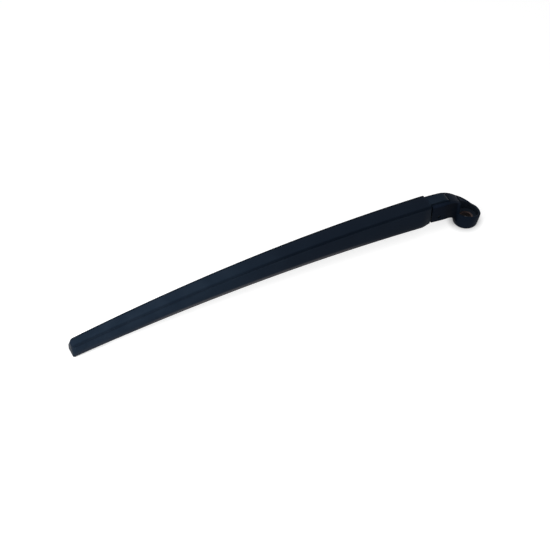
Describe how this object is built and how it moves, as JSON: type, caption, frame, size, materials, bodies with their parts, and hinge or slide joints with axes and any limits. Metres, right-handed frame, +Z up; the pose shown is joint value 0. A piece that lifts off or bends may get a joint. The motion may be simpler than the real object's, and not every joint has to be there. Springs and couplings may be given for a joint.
{
  "type": "wiper arm",
  "caption": "Rear window wiper arm: bowed moulded channel hinged on a gooseneck head with a spindle cup, pulled down by a tension spring.",
  "frame": {"origin": "axis of the spindle hole at the level of the cup's underside", "axes": "+Z up along the spindle, -X along the arm towards the tip, +Y across the arm towards the neck's offset side"},
  "size_m": [0.3752, 0.0246, 0.0401],
  "materials": {
    "plastic": "matte",
    "steel": "satin",
    "bronze": "satin"
  },
  "bodies": {
    "head": {"head": "plastic", "spindle_insert": "bronze", "hinge_pin": "steel", "head_spring_pin": "steel"},
    "arm": {"arm": "plastic", "arm_spring_pin": "steel", "tension_spring": "steel"},
    "link": {"spring_link": "steel"}
  },
  "joints": [
    {"name": "arm_hinge", "type": "hinge", "parent": "head", "child": "arm", "pos_m": [-0.0275, 0, 0.0329], "axis": [0, 1, 0], "range_deg": [0, 60], "stiffness_Nm_per_rad": 1, "springref_deg": -114.59, "deforming": ["tension_spring"]},
    {"name": "link_hinge", "type": "hinge", "parent": "head", "child": "link", "pos_m": [-0.033, 0, 0.024], "axis": [0, 1, 0], "range_deg": [0, 60]}
  ],
  "couplings": [
    {"joint": "link_hinge", "follows": "arm_hinge", "ratio": 1}
  ]
}
